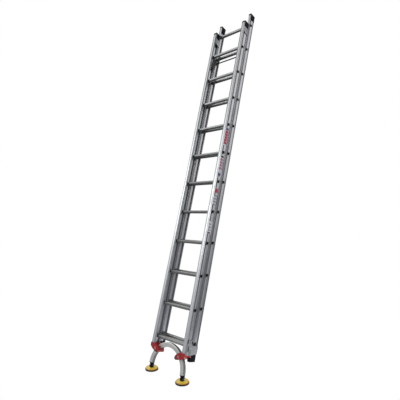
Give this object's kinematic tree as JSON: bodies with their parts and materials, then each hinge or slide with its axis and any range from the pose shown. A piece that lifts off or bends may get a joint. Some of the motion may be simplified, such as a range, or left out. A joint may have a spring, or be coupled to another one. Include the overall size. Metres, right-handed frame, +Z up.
{
  "type": "extension ladder",
  "caption": "Two-section aluminium extension ladder leaning in use, with a sliding fly section, rung lock, self-levelling arc foot and swivelling round pads.",
  "frame": {"origin": "on the floor under the middle of the ladder's reach, midway between its two sides; the feet stand 0.500 m in front of it", "axes": "+X across the ladder to the climber's right, +Y from the climber towards the wall, +Z up; the ladder leans 15 degrees towards +Y"},
  "size_m": [0.517, 1.1204, 3.6139],
  "materials": {
    "stile": "mill-finish extrusion, fine lines along the stile",
    "rung": "mill-finish extrusion, worn treads",
    "arc_tube": "satin bent box tube",
    "guide_plate": "satin plate",
    "steel": "zinc plated",
    "black_plastic": "moulded, fine grain",
    "red_plastic": "moulded, fine grain",
    "yellow_plastic": "moulded, fine grain",
    "rubber": "moulded"
  },
  "bodies": {
    "base": {"base_stile_left": "stile", "base_stile_right": "stile", "base_rung_01": "rung", "base_rung_02": "rung", "base_rung_03": "rung", "base_rung_04": "rung", "base_rung_05": "rung", "base_rung_06": "rung", "base_rung_07": "rung", "base_rung_08": "rung", "base_rung_09": "rung", "base_rung_10": "rung", "base_rung_11": "rung", "base_cap_left": "black_plastic", "base_cap_right": "black_plastic", "top_guide_left": "guide_plate", "top_guide_right": "guide_plate", "side_plate_left": "guide_plate", "side_plate_right": "guide_plate", "arc_bracket_left": "red_plastic", "arc_bracket_right": "red_plastic", "brake_shoe_left": "rubber", "brake_shoe_right": "rubber", "lock_pivot_pin_left": "steel", "lock_pivot_pin_right": "steel"},
    "fly": {"fly_stile_left": "stile", "fly_stile_right": "stile", "fly_rung_01": "rung", "fly_rung_02": "rung", "fly_rung_03": "rung", "fly_rung_04": "rung", "fly_rung_05": "rung", "fly_rung_06": "rung", "fly_rung_07": "rung", "fly_rung_08": "rung", "fly_rung_09": "rung", "fly_rung_10": "rung", "fly_rung_11": "rung", "fly_rung_12": "rung", "fly_cap_left": "black_plastic", "fly_cap_right": "black_plastic", "fly_boot_left": "black_plastic", "fly_boot_right": "black_plastic"},
    "rung_lock": {"lock_arm_left": "steel", "lock_arm_right": "steel", "lock_bar": "steel"},
    "arc": {"level_arc": "arc_tube", "arc_plug_left": "black_plastic", "arc_plug_right": "black_plastic", "pitch_pin_left": "steel", "pitch_pin_right": "steel"},
    "knuckle_left": {"knuckle_left": "black_plastic", "roll_pin_left": "steel"},
    "knuckle_right": {"knuckle_right": "black_plastic", "roll_pin_right": "steel"},
    "foot_left": {"foot_pad_left": "yellow_plastic", "foot_tread_left": "rubber"},
    "foot_right": {"foot_pad_right": "yellow_plastic", "foot_tread_right": "rubber"}
  },
  "joints": [
    {"name": "fly_slide", "type": "slide", "parent": "base", "child": "fly", "axis": [0, 0.2588, 0.9659], "range_m": [0, 2.7]},
    {"name": "rung_lock_pivot", "type": "hinge", "parent": "base", "child": "rung_lock", "pos_m": [0, 0.31393, 3.05326], "axis": [1, 0, 0], "range_deg": [0, 20], "stiffness_Nm_per_rad": 0.4, "springref_deg": -20.05},
    {"name": "arc_level", "type": "hinge", "parent": "base", "child": "arc", "pos_m": [0, -0.5, 0.062], "axis": [0, 0.9659, -0.2588], "range_deg": [-21, 21]},
    {"name": "foot_pitch_left", "type": "hinge", "parent": "arc", "child": "knuckle_left", "pos_m": [-0.1985, -0.5, 0.0485], "axis": [1, 0, 0], "range_deg": [-40, 10]},
    {"name": "foot_roll_left", "type": "hinge", "parent": "knuckle_left", "child": "foot_left", "pos_m": [-0.1985, -0.5, 0.033], "axis": [0, 1, 0], "range_deg": [-25, 25]},
    {"name": "foot_pitch_right", "type": "hinge", "parent": "arc", "child": "knuckle_right", "pos_m": [0.1985, -0.5, 0.0485], "axis": [1, 0, 0], "range_deg": [-40, 10]},
    {"name": "foot_roll_right", "type": "hinge", "parent": "knuckle_right", "child": "foot_right", "pos_m": [0.1985, -0.5, 0.033], "axis": [0, 1, 0], "range_deg": [-25, 25]}
  ]
}
